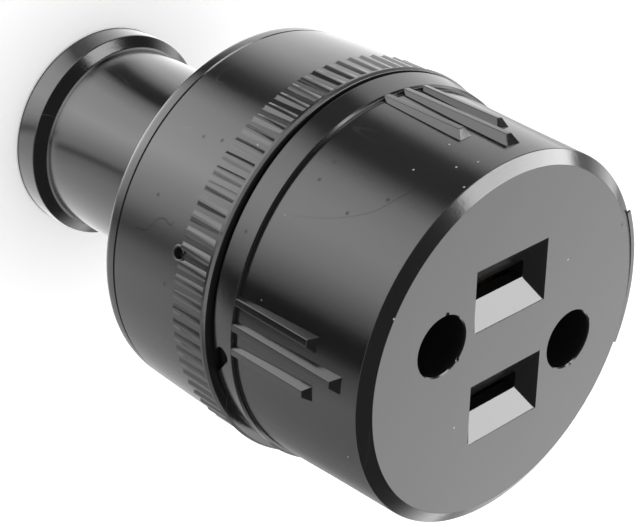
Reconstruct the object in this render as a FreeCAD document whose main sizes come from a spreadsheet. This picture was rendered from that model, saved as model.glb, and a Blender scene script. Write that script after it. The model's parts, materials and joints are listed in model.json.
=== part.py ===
import FreeCAD, Part
import Sketcher
import os

# Inline socket connector, 15 A 125 V, two parallel slots, for the end of a flexible cord.
# It stands on the collar of its cable neck, with +Z up along its axis and its front face on top.
# The origin is the centre of the collar's end, where the cable goes in. Lengths are in millimetres.
#
# The front body and the rear cap are mouldings. The body's spigot sits in the cap and carries two
# lugs, which the cap's bayonet grooves lock with a short twist. Inside are two folded brass contacts,
# each with a screw that is reached through a round hole in the face and draws a clamp plate up
# against the contact's foot, and a retainer plate that holds the contacts in their pockets.

SIZES = [
    # Heights of the stack, from the cable end upwards
    ("neck_length", 27.0, "collar's end to the cap's rear face"),
    ("cap_length", 16.9, "cap's rear face to its rim"),
    ("seam_gap", 0.2, "running gap between the cap's rim and the band"),
    ("band_height", 3.1, "smooth band of the front body"),
    ("barrel_length", 16.8, "band to front face"),
    # Front body
    ("barrel_radius", 19.95, "barrel at the band, where its draft is widest"),
    ("barrel_draft", 0.33, "how much narrower the barrel is at its front end"),
    ("band_step", 0.55, "band and tops of the ribs, out from the barrel at the band"),
    ("face_chamfer_side", 1.2, "chamfer of the face, across"),
    ("face_chamfer_drop", 0.7, "chamfer of the face, along the axis"),
    ("face_corner", 0.25, "blunt corner between chamfer and barrel"),
    ("band_shoulder", 0.25, "slope of the band's upper edge"),
    ("band_chamfer", 0.7, "chamfer of the band's edge at the seam"),
    ("core_depth", 20.0, "face to the floor that the retainer lies on"),
    ("front_wall", 3.0, "face to the roof of the contact pockets"),
    # Spigot and bayonet
    ("spigot_inset", 2.2, "spigot, in from the band"),
    ("spigot_wall", 2.0, "wall of the spigot"),
    ("spigot_length", 6.5, "spigot below the band"),
    ("fit_gap", 0.2, "gap between spigot and cap, and round the lugs"),
    ("lug_reach", 0.9, "how far a lug stands out of the spigot"),
    ("lug_width", 4.0, "lug, round the spigot"),
    ("lug_height", 2.0, "lug, along the axis"),
    ("lug_drop", 2.6, "band to the top of a lug"),
    ("lug_angle", 60.0, "place of the first lug, in degrees from +X"),
    # Grip ribs
    ("rib_top_width", 0.7, "rib, across its top"),
    ("rib_side_slope", 0.625, "run of a rib's side facet for each mm of height"),
    ("rib_end_slope", 0.88, "run of a rib's end facet for each mm of height"),
    ("rib_root", 0.5, "rib, below the front end of the barrel's surface"),
    ("rib_pitch", 7.5, "angle between ribs of a group, in degrees"),
    ("rib_group_angle", 83.3, "place of the first group's middle rib, in degrees"),
    ("rib_length_middle", 13.2, "middle rib of a group, along its top"),
    ("rib_length_outer", 9.7, "outer ribs of a group, along their tops"),
    # Slanted notch in the band
    ("notch_angle", 5.4, "place of the notch, in degrees from +X"),
    ("notch_width", 1.75, "notch, across"),
    ("notch_length", 3.0, "notch, along its slant"),
    ("notch_depth", 1.1, "notch, into the band"),
    ("notch_slant", 50.0, "lean of the notch from the axis, in degrees"),
    ("notch_rise", 1.0, "band's edge to the middle of the notch"),
    # Slots and contacts
    ("slot_pitch", 12.7, "between the middles of the two slots"),
    ("slot_length", 6.8, "slot, along X"),
    ("slot_width", 1.9, "slot, along Y"),
    ("funnel_length", 9.7, "lead-in at the face, along X"),
    ("funnel_width", 6.6, "lead-in at the face, along Y"),
    ("funnel_depth", 1.6, "lead-in below the face"),
    ("sheet", 0.8, "brass sheet of the contacts"),
    ("contact_width", 6.0, "contact leaves, along X"),
    ("tip_room", 0.8, "contact's tip to the roof of its pocket"),
    ("leaf_gap_base", 2.6, "between the leaves at the foot"),
    ("leaf_gap_pinch", 1.3, "between the leaves where they grip"),
    ("leaf_gap_mouth", 2.8, "between the leaves at the mouth"),
    ("mouth_length", 3.6, "mouth of the leaves above the grip"),
    ("pocket_gap", 0.3, "room round a contact in its pocket"),
    # Terminals
    ("screw_inset", 7.0, "terminal screw along X, in from the bore of the spigot"),
    ("screw_y", 3.5, "terminal screw from the axis, along Y"),
    ("driver_hole_radius", 3.15, "hole for the screwdriver"),
    ("driver_hole_depth", 14.0, "face to the shoulder under the screw head"),
    ("screw_radius", 1.75, "thread of the terminal screw"),
    ("screw_head_radius", 2.8, "head of the terminal screw"),
    ("screw_head_height", 2.4, "head of the terminal screw"),
    ("screw_length", 11.0, "terminal screw under its head"),
    ("screw_slot_width", 0.9, "driver slot"),
    ("screw_slot_depth", 1.1, "driver slot"),
    ("shank_gap", 0.15, "room round a screw's shank"),
    ("thread_gap", 0.05, "room in a threaded hole, thread left out"),
    ("foot_width", 6.0, "contact's foot round its screw"),
    ("wire_gap", 1.6, "opening between foot and clamp plate"),
    ("clamp_side", 7.0, "clamp plate, square"),
    ("clamp_thickness", 1.6, "clamp plate"),
    ("clamp_corner", 0.8, "corner radius of the clamp plate"),
    # Retainer
    ("retainer_thickness", 4.2, "retainer plate"),
    ("retainer_gap", 0.2, "room between retainer and spigot"),
    ("window_gap", 0.3, "room round a clamp plate in its window"),
    ("wire_way", 2.6, "way for the conductor beside a clamp plate"),
    ("hold_screw_radius", 1.5, "thread of the retainer screw"),
    ("hold_head_radius", 2.8, "head of the retainer screw"),
    ("hold_head_height", 1.8, "head of the retainer screw"),
    ("hold_screw_length", 12.0, "retainer screw under its head"),
    ("hold_screw_inset", 3.4, "retainer screw along Y, in from the bore of the spigot"),
    ("hold_tip_room", 0.4, "room beyond the tip of a retainer screw"),
    # Rear cap
    ("cap_wall", 2.3, "wall of the cap between its fingers"),
    ("cap_draft", 0.3, "how much narrower the cap is at its rear face"),
    ("ring_step", 0.06, "raised ring at the cap's rim, out from the tops of the fingers"),
    ("ring_height", 1.0, "raised ring, along the axis"),
    ("lip_step", 0.08, "thin lip at the cap's rim, out from the raised ring"),
    ("lip_height", 0.35, "thin lip, along the axis"),
    ("rear_wall", 2.4, "rear wall of the cap"),
    ("rear_corner", 1.0, "rounded rear edge of the cap, in two facets"),
    ("neck_wall", 3.8, "wall of the neck"),
    ("neck_fillet", 1.5, "rounded root of the neck, in two facets"),
    ("cable_radius", 7.0, "bore for the cable"),
    ("cable_flare", 0.8, "chamfer at the mouth of the bore"),
    ("collar_step", 1.3, "collar at the cable end, out from the neck"),
    ("collar_height", 3.25, "collar at the cable end"),
    ("collar_cone", 1.0, "cone between collar and neck"),
    ("collar_edge", 0.35, "chamfer of the collar's end"),
    # Raised fingers of the knurl, and the index mark
    ("finger_count", 80, "fingers round the cap"),
    ("finger_height", 0.26, "finger, out from the cap"),
    ("finger_length", 4.3, "finger behind the raised ring, along the axis"),
    ("finger_foot_width", 1.05, "finger, across its foot"),
    ("finger_top_width", 0.8, "finger, across its top"),
    ("finger_end_run", 0.35, "run of a finger's sloping rear end"),
    ("index_angle", -18.8, "place of the index mark, in degrees from +X"),
    ("index_drop", 5.2, "cap's rim to the middle of the dimple"),
    ("index_radius", 0.6, "dimple of the index mark"),
    ("index_depth", 0.7, "dimple of the index mark"),
]

doc = FreeCAD.newDocument("socket_connector")
sheet = doc.addObject("Spreadsheet::Sheet", "Dim")
for row, (alias, value, meaning) in enumerate(SIZES, start=1):
    sheet.set("A%d" % row, alias)
    sheet.set("B%d" % row, str(value))
    sheet.set("C%d" % row, meaning)
    sheet.setAlias("B%d" % row, alias)
doc.recompute()

# Radii, each from the one that it fits or stands on
BARREL_FRONT = "(Dim.barrel_radius - Dim.barrel_draft)"
BAND_RADIUS = "(Dim.barrel_radius + Dim.band_step)"
SPIGOT_RADIUS = "(" + BAND_RADIUS + " - Dim.spigot_inset)"
SPIGOT_BORE = "(" + SPIGOT_RADIUS + " - Dim.spigot_wall)"
CAP_INSIDE = "(" + SPIGOT_RADIUS + " + Dim.fit_gap)"
CAP_RADIUS = "(" + CAP_INSIDE + " + Dim.cap_wall)"
CAP_REAR = "(" + CAP_RADIUS + " - Dim.cap_draft)"
FINGER_RADIUS = "(" + CAP_RADIUS + " + Dim.finger_height)"
RING_RADIUS = "(" + FINGER_RADIUS + " + Dim.ring_step)"
LIP_RADIUS = "(" + RING_RADIUS + " + Dim.lip_step)"
NECK_RADIUS = "(Dim.cable_radius + Dim.neck_wall)"
COLLAR_RADIUS = "(" + NECK_RADIUS + " + Dim.collar_step)"
SCREW_X = "(" + SPIGOT_BORE + " - Dim.screw_inset)"

# Levels along the axis and places across it, all worked out from the sizes above
CAP_RIM = "(Dim.neck_length + Dim.cap_length)"
BAND_END = "(" + CAP_RIM + " + Dim.seam_gap)"
STEP = "(" + BAND_END + " + Dim.band_height)"
FACE = "(" + STEP + " + Dim.barrel_length)"
FLOOR = "(" + FACE + " - Dim.core_depth)"
HEAD_SEAT = "(" + FACE + " - Dim.driver_hole_depth)"
SPIGOT_END = "(" + BAND_END + " - Dim.spigot_length)"
LUG_TOP = "(" + BAND_END + " - Dim.lug_drop)"
GROOVE_RADIUS = "(" + SPIGOT_RADIUS + " + Dim.lug_reach + 2 * Dim.fit_gap)"
SLOT_Y = "(-Dim.slot_pitch / 2)"
SCREW_Y = "(-Dim.screw_y)"
CLAMP_TOP = "(" + FLOOR + " - Dim.wire_gap)"
LEAF_OUTSIDE = "(Dim.leaf_gap_mouth / 2 + Dim.sheet)"
RETAINER_END = "(" + FLOOR + " - Dim.retainer_thickness)"
HOLD_Y = "(Dim.hold_screw_inset - " + SPIGOT_BORE + ")"
HOLD_DEPTH = "(Dim.hold_screw_length + Dim.hold_head_height - Dim.retainer_thickness + Dim.hold_tip_room)"
NOTCH_LEVEL = "(" + BAND_END + " + Dim.notch_rise)"
RIB_FOOT = "(" + BARREL_FRONT + " - Dim.rib_root)"
RIB_RISE = "(" + BAND_RADIUS + " - " + RIB_FOOT + ")"
RING_START = "(" + CAP_RIM + " - Dim.ring_height)"
FINGER_END = "(" + RING_START + " - Dim.finger_length)"

# The cap locks with the turn that brings its index mark from the notch to its place at rest
TWIST = "(Dim.notch_angle - Dim.index_angle)"


UP = FreeCAD.Vector(0, 0, 1)
SKETCH_UP = FreeCAD.Vector(0, 1, 0)


def amount(expression):
    """The number that an expression of the sheet's sizes gives."""
    result = sheet.evalExpression(expression.replace("Dim.", ""))
    return float(getattr(result, "Value", result))


def bind(feature, **expressions):
    """Ties properties of a feature to expressions; dots in a property path are written as __."""
    for path, expression in expressions.items():
        feature.setExpression(path.replace("__", "."), expression)


def rotation(axis, angle):
    return FreeCAD.Placement(FreeCAD.Vector(), FreeCAD.Rotation(axis, angle))


def new_body(label):
    body = doc.addObject("PartDesign::Body", label)
    body.Label = label
    return body


def origin_item(body, role):
    return next(item for item in body.Origin.OriginFeatures if item.Role == role)


def place(feature, x="0", y="0", z="0", turn="0"):
    """Puts a primitive at x, y, z, turned about Z, with every value bound."""
    feature.Placement = rotation(UP, 1)
    bind(feature, Placement__Base__x=x, Placement__Base__y=y, Placement__Base__z=z)
    bind(feature, Placement__Rotation__Angle=turn)


def cylinder(body, name, radius, height, x="0", y="0", z="0", cut=False):
    kind = "PartDesign::SubtractiveCylinder" if cut else "PartDesign::AdditiveCylinder"
    feature = body.newObject(kind, name)
    bind(feature, Radius=radius, Height=height)
    place(feature, x, y, z)
    return feature


def block(body, name, length, width, height, x="0", y="0", z="0", cut=False):
    """A box with length along X, width along Y and height along Z, centred on x and y, bottom at z."""
    kind = "PartDesign::SubtractiveBox" if cut else "PartDesign::AdditiveBox"
    feature = body.newObject(kind, name)
    bind(feature, Length=length, Width=width, Height=height)
    place(feature, "%s - (%s) / 2" % (x, length), "%s - (%s) / 2" % (y, width), z)
    return feature


def wedge(body, name, cut, near, far, across, far_across, along, far_along):
    """A wedge from near to far on its own Y; across is its width on X, along its two ends on Z."""
    kind = "PartDesign::SubtractiveWedge" if cut else "PartDesign::AdditiveWedge"
    feature = body.newObject(kind, name)
    bind(feature, Ymin=near, Ymax=far)
    bind(feature, Xmin="-(%s) / 2" % across, Xmax="(%s) / 2" % across)
    bind(feature, X2min="-(%s) / 2" % far_across, X2max="(%s) / 2" % far_across)
    bind(feature, Zmin=along[0], Zmax=along[1], Z2min=far_along[0], Z2max=far_along[1])
    return feature


def outline(body, name, plane, corners):
    """A closed sketch of straight lines whose corners are bound to pairs of expressions."""
    sketch = body.newObject("Sketcher::SketchObject", name)
    sketch.AttachmentSupport = [(origin_item(body, plane), "")]
    sketch.MapMode = "FlatFace"
    spots = [FreeCAD.Vector(amount(across), amount(up), 0) for across, up in corners]
    last = len(corners) - 1
    for index, spot in enumerate(spots):
        sketch.addGeometry(Part.LineSegment(spot, spots[0 if index == last else index + 1]))
    for index, (across, up) in enumerate(corners):
        following = 0 if index == last else index + 1
        sketch.addConstraint(Sketcher.Constraint("Coincident", index, 2, following, 1))
        if across == "0":
            sketch.addConstraint(Sketcher.Constraint("PointOnObject", index, 1, -2))
        else:
            side = sketch.addConstraint(Sketcher.Constraint("DistanceX", -1, 1, index, 1, spots[index].x))
            sketch.setExpression("Constraints[%d]" % side, across)
        if up == "0":
            sketch.addConstraint(Sketcher.Constraint("PointOnObject", index, 1, -1))
        else:
            rise = sketch.addConstraint(Sketcher.Constraint("DistanceY", -1, 1, index, 1, spots[index].y))
            sketch.setExpression("Constraints[%d]" % rise, up)
    return sketch


def turned(body, name, corners):
    """The solid of revolution of an outline given as radius and height."""
    feature = body.newObject("PartDesign::Revolution", name)
    feature.Profile = outline(body, name + "_outline", "XZ_Plane", corners)
    feature.ReferenceAxis = (feature.Profile[0], ["V_Axis"])
    feature.Angle = 360
    return feature


def set_on_side(sketch, angle, radius):
    """Turns a sketch on the YZ plane to an angle round the axis and moves it out to a radius."""
    sketch.AttachmentOffset = rotation(SKETCH_UP, 1)
    bind(sketch, AttachmentOffset__Rotation__Angle=angle)
    bind(sketch, AttachmentOffset__Base__x="%s * sin(%s * 1 deg)" % (radius, angle))
    bind(sketch, AttachmentOffset__Base__z="%s * cos(%s * 1 deg)" % (radius, angle))


def repeat(body, feature, count):
    """Repeats the newest feature round the axis, count times in a full turn."""
    pattern = body.newObject("PartDesign::PolarPattern", feature.Name + "_repeated")
    pattern.Originals = [feature]
    pattern.Axis = (origin_item(body, "Z_Axis"), [""])
    pattern.Angle = 360
    bind(pattern, Occurrences=str(count))
    body.Tip = pattern


def make_front_body():
    """The moulded front: face, barrel with ribs, band, and the spigot with its lugs."""
    body = new_body("front_body")
    turned(body, "front_shell", [
        ("0", FACE),
        (BARREL_FRONT + " - Dim.face_corner - Dim.face_chamfer_side", FACE),
        (BARREL_FRONT + " - Dim.face_corner", FACE + " - Dim.face_chamfer_drop"),
        (BARREL_FRONT, FACE + " - Dim.face_chamfer_drop - Dim.face_corner"),
        ("Dim.barrel_radius", STEP),
        (BAND_RADIUS, STEP + " - Dim.band_shoulder"),
        (BAND_RADIUS, BAND_END + " + Dim.band_chamfer"),
        (BAND_RADIUS + " - Dim.band_chamfer", BAND_END),
        (SPIGOT_RADIUS, BAND_END),
        (SPIGOT_RADIUS, SPIGOT_END),
        (SPIGOT_BORE, SPIGOT_END),
        (SPIGOT_BORE, FLOOR),
        ("0", FLOOR),
    ])

    rib_width = "(Dim.rib_top_width + 2 * Dim.rib_side_slope * %s)" % RIB_RISE
    low = STEP + " - Dim.band_shoulder"
    for side in (-1, 0, 1):
        length = "Dim.rib_length_middle" if side == 0 else "Dim.rib_length_outer"
        top = "%s + %s" % (STEP, length)
        rib = wedge(
            body, "rib_%d" % (side + 2), False,
            RIB_FOOT, BAND_RADIUS, rib_width, "Dim.rib_top_width",
            (low, "%s + Dim.rib_end_slope * %s" % (top, RIB_RISE)), (low, top),
        )
        place(rib, turn="Dim.rib_group_angle + %d * Dim.rib_pitch - 90" % side)
        repeat(body, rib, 4)

    lug = wedge(
        body, "lug", False,
        SPIGOT_RADIUS + " - Dim.spigot_wall / 2", SPIGOT_RADIUS + " + Dim.lug_reach",
        "Dim.lug_width", "Dim.lug_width",
        (LUG_TOP + " - Dim.lug_height", LUG_TOP), (LUG_TOP + " - Dim.lug_height", LUG_TOP),
    )
    place(lug, turn="Dim.lug_angle - 90")
    repeat(body, lug, 2)

    # One slot with its lead-in, contact pocket and screw holes, each with its twin on the other side
    funnel = wedge(
        body, "slot_funnel", True,
        "0", "Dim.funnel_depth",
        "Dim.slot_length", "Dim.funnel_length",
        ("-Dim.slot_width / 2", "Dim.slot_width / 2"), ("-Dim.funnel_width / 2", "Dim.funnel_width / 2"),
    )
    funnel.Placement = rotation(FreeCAD.Vector(1, 0, 0), 90)
    bind(funnel, Placement__Base__y=SLOT_Y, Placement__Base__z=FACE + " - Dim.funnel_depth")
    repeat(body, funnel, 2)
    slot = block(
        body, "slot", "Dim.slot_length", "Dim.slot_width", "Dim.front_wall",
        y=SLOT_Y, z=FACE + " - Dim.front_wall", cut=True,
    )
    repeat(body, slot, 2)
    pocket = block(
        body, "contact_pocket", "Dim.contact_width + 2 * Dim.pocket_gap",
        "2 * (%s + Dim.pocket_gap)" % LEAF_OUTSIDE, "Dim.core_depth - Dim.front_wall",
        y=SLOT_Y, z=FLOOR, cut=True,
    )
    repeat(body, pocket, 2)
    foot_room = block(
        body, "foot_room",
        SCREW_X, "Dim.foot_width + 2 * Dim.pocket_gap", "Dim.sheet + Dim.pocket_gap",
        x=SCREW_X + " / 2", y=SCREW_Y, z=FLOOR, cut=True,
    )
    repeat(body, foot_room, 2)
    round_holes = [
        ("foot_end_room", "Dim.foot_width / 2 + Dim.pocket_gap", "Dim.sheet + Dim.pocket_gap", FLOOR),
        ("driver_hole", "Dim.driver_hole_radius", "Dim.driver_hole_depth", HEAD_SEAT),
        ("shank_hole", "Dim.screw_radius + Dim.shank_gap", "Dim.core_depth - Dim.driver_hole_depth", FLOOR),
    ]
    for name, radius, height, low in round_holes:
        repeat(body, cylinder(body, name, radius, height, SCREW_X, SCREW_Y, low, cut=True), 2)
    hold_radius = "Dim.hold_screw_radius + Dim.thread_gap"
    repeat(body, cylinder(body, "hold_hole", hold_radius, HOLD_DEPTH, y=HOLD_Y, z=FLOOR, cut=True), 2)

    # The slanted notch that opens into the seam
    along = ("sin(Dim.notch_slant * 1 deg)", "cos(Dim.notch_slant * 1 deg)")
    corners = []
    for end, side in ((-1, -1), (1, -1), (1, 1), (-1, 1)):
        reach = "%d * Dim.notch_length / 2 * " % end
        width = "%d * Dim.notch_width / 2 * " % side
        corners.append((
            reach + along[0] + " + " + width + along[1],
            NOTCH_LEVEL + " + " + reach + along[1] + " - " + width + along[0],
        ))
    notch_outline = outline(body, "notch_outline", "YZ_Plane", corners)
    set_on_side(notch_outline, "Dim.notch_angle", "(" + BAND_RADIUS + " - Dim.notch_depth)")
    notch = body.newObject("PartDesign::Pocket", "notch")
    notch.Profile = notch_outline
    notch.Reversed = True
    bind(notch, Length="2 * Dim.notch_depth")
    body.Tip = notch
    return body


def make_contact(label, turn):
    """A folded brass contact: two sprung leaves that grip a blade, and a foot with a screw hole."""
    body = new_body(label)
    half_base = "Dim.leaf_gap_base / 2"
    half_pinch = "Dim.leaf_gap_pinch / 2"
    half_mouth = "Dim.leaf_gap_mouth / 2"
    tip_level = FACE + " - Dim.front_wall - Dim.tip_room"
    grip_level = tip_level + " - Dim.mouth_length"
    corners = []
    for sign in ("-", ""):
        leaf = [
            ("%s + %s(%s + Dim.sheet)" % (SLOT_Y, sign, half_base), FLOOR),
            ("%s + %s(%s + Dim.sheet)" % (SLOT_Y, sign, half_pinch), grip_level),
            ("%s + %s(%s + Dim.sheet)" % (SLOT_Y, sign, half_mouth), tip_level),
            ("%s + %s(%s)" % (SLOT_Y, sign, half_mouth), tip_level),
            ("%s + %s(%s)" % (SLOT_Y, sign, half_pinch), grip_level),
            ("%s + %s(%s)" % (SLOT_Y, sign, half_base), FLOOR + " + Dim.sheet"),
        ]
        corners += leaf if sign == "-" else leaf[::-1]
    leaves = body.newObject("PartDesign::Pad", label + "_leaves")
    leaves.Profile = outline(body, label + "_outline", "YZ_Plane", corners)
    leaves.Midplane = True
    bind(leaves, Length="Dim.contact_width")
    inner = "(Dim.contact_width / 2 - Dim.sheet)"
    block(
        body, label + "_foot", SCREW_X + " - " + inner, "Dim.foot_width", "Dim.sheet",
        x="(" + SCREW_X + " + %s) / 2" % inner, y=SCREW_Y, z=FLOOR,
    )
    cylinder(body, label + "_foot_end", "Dim.foot_width / 2", "Dim.sheet", SCREW_X, SCREW_Y, FLOOR)
    cylinder(
        body, label + "_hole", "Dim.screw_radius + Dim.shank_gap", "Dim.sheet",
        SCREW_X, SCREW_Y, FLOOR, cut=True,
    )
    body.Placement = rotation(UP, turn)
    return body


def make_screw(label, sizes, x, y, seat, turn, upward):
    """A slotted screw; its head lies above the seat if upward is true, and below it if not."""
    radius, length, head_radius, head_height = sizes
    body = new_body(label)
    shank_low = "%s - (%s)" % (seat, length) if upward else seat
    head_low = seat if upward else "%s - (%s)" % (seat, head_height)
    slot_low = "%s + %s - Dim.screw_slot_depth" % (seat, head_height) if upward else head_low
    cylinder(body, label + "_shank", radius, length, x, y, shank_low)
    cylinder(body, label + "_head", head_radius, head_height, x, y, head_low)
    block(
        body, label + "_slot", "3 * " + head_radius, "Dim.screw_slot_width", "Dim.screw_slot_depth",
        x, y, slot_low, cut=True,
    )
    body.Placement = rotation(UP, turn)
    return body


def make_clamp_plate(label, turn):
    """The square plate on a terminal screw that pinches the conductor against the contact's foot."""
    body = new_body(label)
    low = "%s - Dim.clamp_thickness" % CLAMP_TOP
    block(
        body, label + "_plate", "Dim.clamp_side", "Dim.clamp_side", "Dim.clamp_thickness",
        SCREW_X, SCREW_Y, low,
    )
    doc.recompute()
    plate = body.Tip
    upright = ["Edge%d" % index for index, edge in enumerate(plate.Shape.Edges, start=1)
               if abs(edge.tangentAt(edge.FirstParameter).z) > 0.99]
    corners = body.newObject("PartDesign::Fillet", label + "_corners")
    corners.Base = (plate, upright)
    bind(corners, Radius="Dim.clamp_corner")
    cylinder(
        body, label + "_thread", "Dim.screw_radius + Dim.thread_gap", "Dim.clamp_thickness",
        SCREW_X, SCREW_Y, low, cut=True,
    )
    body.Placement = rotation(UP, turn)
    return body


def make_retainer():
    """The insulating plate that closes the contact pockets, with a window for each clamp plate."""
    body = new_body("contact_retainer")
    cylinder(
        body, "retainer_disc", SPIGOT_BORE + " - Dim.retainer_gap", "Dim.retainer_thickness",
        z=RETAINER_END,
    )
    window = block(
        body, "window", "Dim.clamp_side + 2 * Dim.window_gap",
        "Dim.clamp_side + 2 * Dim.window_gap + Dim.wire_way", "Dim.retainer_thickness",
        x=SCREW_X, y="(%s + Dim.wire_way / 2)" % SCREW_Y, z=RETAINER_END, cut=True,
    )
    repeat(body, window, 2)
    round_holes = [
        ("retainer_hole", "Dim.hold_screw_radius + Dim.shank_gap", "Dim.retainer_thickness"),
        ("head_room", "Dim.hold_head_radius + Dim.retainer_gap", "Dim.hold_head_height"),
    ]
    for name, radius, height in round_holes:
        repeat(body, cylinder(body, name, radius, height, y=HOLD_Y, z=RETAINER_END, cut=True), 2)
    return body


def make_rear_cap():
    """The rear cap with its neck and collar, the raised knurl and the bayonet grooves, in one moulding."""
    body = new_body("rear_cap")
    neck_root = [(
        NECK_RADIUS + " + Dim.neck_fillet * (1 - cos(%d deg))" % angle,
        "Dim.neck_length - Dim.neck_fillet * (1 - sin(%d deg))" % angle,
    ) for angle in (0, 45, 90)]
    rear_edge = [(
        CAP_REAR + " - Dim.rear_corner * (1 - sin(%d deg))" % angle,
        "Dim.neck_length + Dim.rear_corner * (1 - cos(%d deg))" % angle,
    ) for angle in (0, 45, 90)]
    turned(body, "cap_shell", [
        ("Dim.cable_radius + Dim.cable_flare", "0"),
        (COLLAR_RADIUS + " - Dim.collar_edge", "0"),
        (COLLAR_RADIUS, "Dim.collar_edge"),
        (COLLAR_RADIUS, "Dim.collar_height"),
        (NECK_RADIUS, "Dim.collar_height + Dim.collar_cone"),
    ] + neck_root + rear_edge + [
        (CAP_RADIUS, FINGER_END),
        (CAP_RADIUS, RING_START),
        (RING_RADIUS, RING_START),
        (RING_RADIUS, CAP_RIM + " - Dim.lip_height"),
        (LIP_RADIUS, CAP_RIM + " - Dim.lip_height"),
        (LIP_RADIUS, CAP_RIM),
        (CAP_INSIDE, CAP_RIM),
        (CAP_INSIDE, "Dim.neck_length + Dim.rear_wall"),
        ("Dim.cable_radius", "Dim.neck_length + Dim.rear_wall"),
        ("Dim.cable_radius", "Dim.cable_flare"),
    ])

    # Bayonet grooves: an entry from the rim, then a run in which the lug turns to its locked place
    run_low = LUG_TOP + " - Dim.lug_height - Dim.fit_gap"
    run_high = LUG_TOP + " + Dim.fit_gap"
    deep_start = "(" + SPIGOT_RADIUS + " - Dim.fit_gap)"
    entry_width = "(Dim.lug_width + 2 * Dim.fit_gap)"
    half_lug = "asin(%s / 2 / %s)" % (entry_width, SPIGOT_RADIUS)
    run_outline = outline(body, "run_outline", "XZ_Plane", [
        (deep_start, run_low), (GROOVE_RADIUS, run_low), (GROOVE_RADIUS, run_high), (deep_start, run_high),
    ])
    run_outline.AttachmentOffset = rotation(SKETCH_UP, 1)
    run_start = "(Dim.lug_angle - %s) * 1 deg - %s" % (TWIST, half_lug)
    bind(run_outline, AttachmentOffset__Rotation__Angle=run_start)
    run = body.newObject("PartDesign::Groove", "lug_run")
    run.Profile = run_outline
    run.ReferenceAxis = (run_outline, ["V_Axis"])
    run.Reversed = False
    bind(run, Angle="%s * 1 deg + 2 * %s" % (TWIST, half_lug))
    repeat(body, run, 2)
    entry = wedge(
        body, "lug_entry", True, deep_start, GROOVE_RADIUS, entry_width, entry_width,
        (run_low, CAP_RIM), (run_low, CAP_RIM),
    )
    place(entry, turn="Dim.lug_angle - %s - 90" % TWIST)
    repeat(body, entry, 2)

    # Knurl: raised fingers that reach back from the ring; the index mark lies between two of them
    finger_high = CAP_RIM + " - Dim.ring_height / 2"
    finger = wedge(
        body, "finger", False, CAP_REAR, FINGER_RADIUS,
        "Dim.finger_foot_width", "Dim.finger_top_width",
        (FINGER_END, finger_high), (FINGER_END + " + Dim.finger_end_run", finger_high),
    )
    place(finger, turn="Dim.index_angle + 180 / Dim.finger_count - 90")
    repeat(body, finger, "Dim.finger_count")

    # Index mark: a dimple at the rear end of a gap between two fingers
    index_outline = body.newObject("Sketcher::SketchObject", "index_outline")
    index_outline.AttachmentSupport = [(origin_item(body, "YZ_Plane"), "")]
    index_outline.MapMode = "FlatFace"
    index_level = CAP_RIM + " - Dim.index_drop"
    middle = FreeCAD.Vector(0, amount(index_level), 0)
    index_outline.addGeometry(Part.Circle(middle, FreeCAD.Vector(0, 0, 1), amount("Dim.index_radius")))
    index_outline.addConstraint(Sketcher.Constraint("PointOnObject", 0, 3, -2))
    rise = index_outline.addConstraint(Sketcher.Constraint("DistanceY", -1, 1, 0, 3, middle.y))
    index_outline.setExpression("Constraints[%d]" % rise, index_level)
    radius = index_outline.addConstraint(Sketcher.Constraint("Radius", 0, amount("Dim.index_radius")))
    index_outline.setExpression("Constraints[%d]" % radius, "Dim.index_radius")
    set_on_side(index_outline, "Dim.index_angle", "(" + CAP_RADIUS + " - Dim.index_depth)")
    dimple = body.newObject("PartDesign::Pocket", "index_dimple")
    dimple.Profile = index_outline
    dimple.Reversed = True
    bind(dimple, Length="2 * Dim.index_depth")
    body.Tip = dimple
    return body


def check_and_export(bodies):
    """Stops if any object failed or any piece is not one valid solid, and writes the pieces."""
    doc.recompute()
    for item in doc.Objects:
        for word in ("Invalid", "Error"):
            if word in item.State:
                raise RuntimeError("%s is in state %s" % (item.Label, item.State))
    for body in bodies:
        shape = body.Shape
        if shape.isNull() or not shape.isValid() or len(shape.Solids) != 1:
            raise RuntimeError(body.Label + " is not one valid solid")
    os.makedirs("parts", exist_ok=True)
    for body in bodies:
        body.Shape.exportStep("parts/" + body.Label + ".step")
        box = body.Shape.BoundBox
        ends = (box.XMin, box.XMax, box.YMin, box.YMax, box.ZMin, box.ZMax)
        print("%-22s %9.1f mm3" % (body.Label, body.Shape.Volume), " ".join("%.2f" % end for end in ends))


# Shank radius and length, head radius and height of the two kinds of screw
TERMINAL = ("Dim.screw_radius", "Dim.screw_length", "Dim.screw_head_radius", "Dim.screw_head_height")
HOLDING = ("Dim.hold_screw_radius", "Dim.hold_screw_length", "Dim.hold_head_radius", "Dim.hold_head_height")
HOLD_SEAT = RETAINER_END + " + Dim.hold_head_height"

pieces = [make_front_body(), make_rear_cap(), make_retainer()]
for side, turn in (("line", 0), ("neutral", 180)):
    pieces.append(make_contact(side + "_contact", turn))
    pieces.append(make_screw(side + "_screw", TERMINAL, SCREW_X, SCREW_Y, HEAD_SEAT, turn, True))
    pieces.append(make_clamp_plate(side + "_clamp_plate", turn))
    pieces.append(make_screw(side + "_retainer_screw", HOLDING, "0", HOLD_Y, HOLD_SEAT, turn, False))
check_and_export(pieces)
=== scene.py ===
# %% [markdown]
# # A black inline socket connector
#
# The real object is the female end of a flexible cord: a moulded front with two slots and two round holes, and a
# cap that is twisted on from behind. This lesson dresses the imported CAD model. The two black mouldings are modelled
# again with more detail than a solid model wants, and the metal and the retainer plate inside keep their CAD shape
# and get new finishes. Everything is modelled on a bench scale, with one unit for a millimetre, and is brought to
# metres at the end, because Blender's tools work best on shapes of about that size.

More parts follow.
